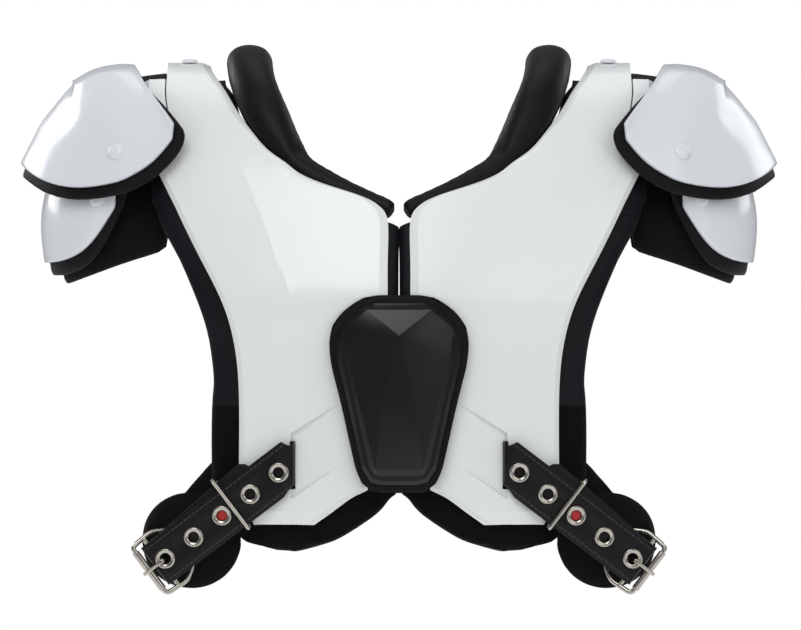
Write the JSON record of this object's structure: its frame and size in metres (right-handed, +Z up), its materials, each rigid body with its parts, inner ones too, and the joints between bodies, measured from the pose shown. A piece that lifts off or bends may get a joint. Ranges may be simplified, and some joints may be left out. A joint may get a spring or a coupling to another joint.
{
  "type": "football shoulder pad",
  "caption": "Youth football shoulder pad: white plates, caps and cups over black padding, black neck rolls, a faceted breastbone plate and two belts with roller buckles.",
  "frame": {"origin": "middle of the neck opening, at the height where the padding rests on the shoulders", "axes": "+X to the wearer's left, which is the right of the front view, +Y from chest to back, +Z up"},
  "size_m": [0.4636, 0.2549, 0.3363],
  "materials": {
    "white_shell": "gloss",
    "black_shell": "satin",
    "padding_cover": "satin",
    "belt_webbing": "satin",
    "nickel": "polished",
    "red_plastic": "satin"
  },
  "bodies": {
    "pad": {"chest_plate_right": "white_shell", "chest_plate_left": "white_shell", "back_plate_right": "white_shell", "back_plate_left": "white_shell", "front_liner_right": "padding_cover", "front_liner_left": "padding_cover", "back_liner_right": "padding_cover", "back_liner_left": "padding_cover", "neck_roll_right": "padding_cover", "neck_roll_left": "padding_cover", "upper_cap_right": "white_shell", "upper_cap_left": "white_shell", "upper_cap_pad_right": "padding_cover", "upper_cap_pad_left": "padding_cover", "lower_cup_right": "white_shell", "lower_cup_left": "white_shell", "lower_cup_pad_right": "padding_cover", "lower_cup_pad_left": "padding_cover", "deltoid_pad_right": "padding_cover", "deltoid_pad_left": "padding_cover", "cap_hinge_right": "belt_webbing", "cap_hinge_left": "belt_webbing", "belt_right": "belt_webbing", "belt_left": "belt_webbing", "grommet_1_right": "nickel", "grommet_1_left": "nickel", "grommet_2_right": "nickel", "grommet_2_left": "nickel", "grommet_3_right": "nickel", "grommet_3_left": "nickel", "grommet_4_right": "nickel", "grommet_4_left": "nickel", "grommet_5_right": "nickel", "grommet_5_left": "nickel", "red_marker_right": "red_plastic", "red_marker_left": "red_plastic", "keeper_right": "nickel", "keeper_left": "nickel", "buckle_frame_right": "nickel", "buckle_frame_left": "nickel", "buckle_guard_right": "padding_cover", "buckle_guard_left": "padding_cover", "cap_rivet_right": "white_shell", "cap_rivet_left": "white_shell", "cup_rivet_right": "white_shell", "cup_rivet_left": "white_shell", "arch_rivet_right": "white_shell", "arch_rivet_left": "white_shell", "back_band": "belt_webbing", "sternum_pad": "padding_cover", "sternum_plate": "black_shell"},
    "prong_right": {"buckle_prong_right": "nickel"},
    "prong_left": {"buckle_prong_left": "nickel"},
    "roller_right": {"buckle_roller_right": "nickel"},
    "roller_left": {"buckle_roller_left": "nickel"}
  },
  "joints": [
    {"name": "prong_right_hinge", "type": "hinge", "parent": "pad", "child": "prong_right", "pos_m": [0.14447, -0.09399, -0.28646], "axis": [-0.606, 0, -0.7955], "range_deg": [0, 25]},
    {"name": "prong_left_hinge", "type": "hinge", "parent": "pad", "child": "prong_left", "pos_m": [-0.14447, -0.09399, -0.28646], "axis": [-0.606, 0, 0.7955], "range_deg": [0, 25]},
    {"name": "roller_right_hinge", "type": "hinge", "parent": "pad", "child": "roller_right", "pos_m": [0.15166, -0.09658, -0.29193], "axis": [0.606, 0, 0.7955], "continuous": true},
    {"name": "roller_left_hinge", "type": "hinge", "parent": "pad", "child": "roller_left", "pos_m": [-0.15166, -0.09658, -0.29193], "axis": [-0.606, 0, 0.7955], "continuous": true}
  ]
}
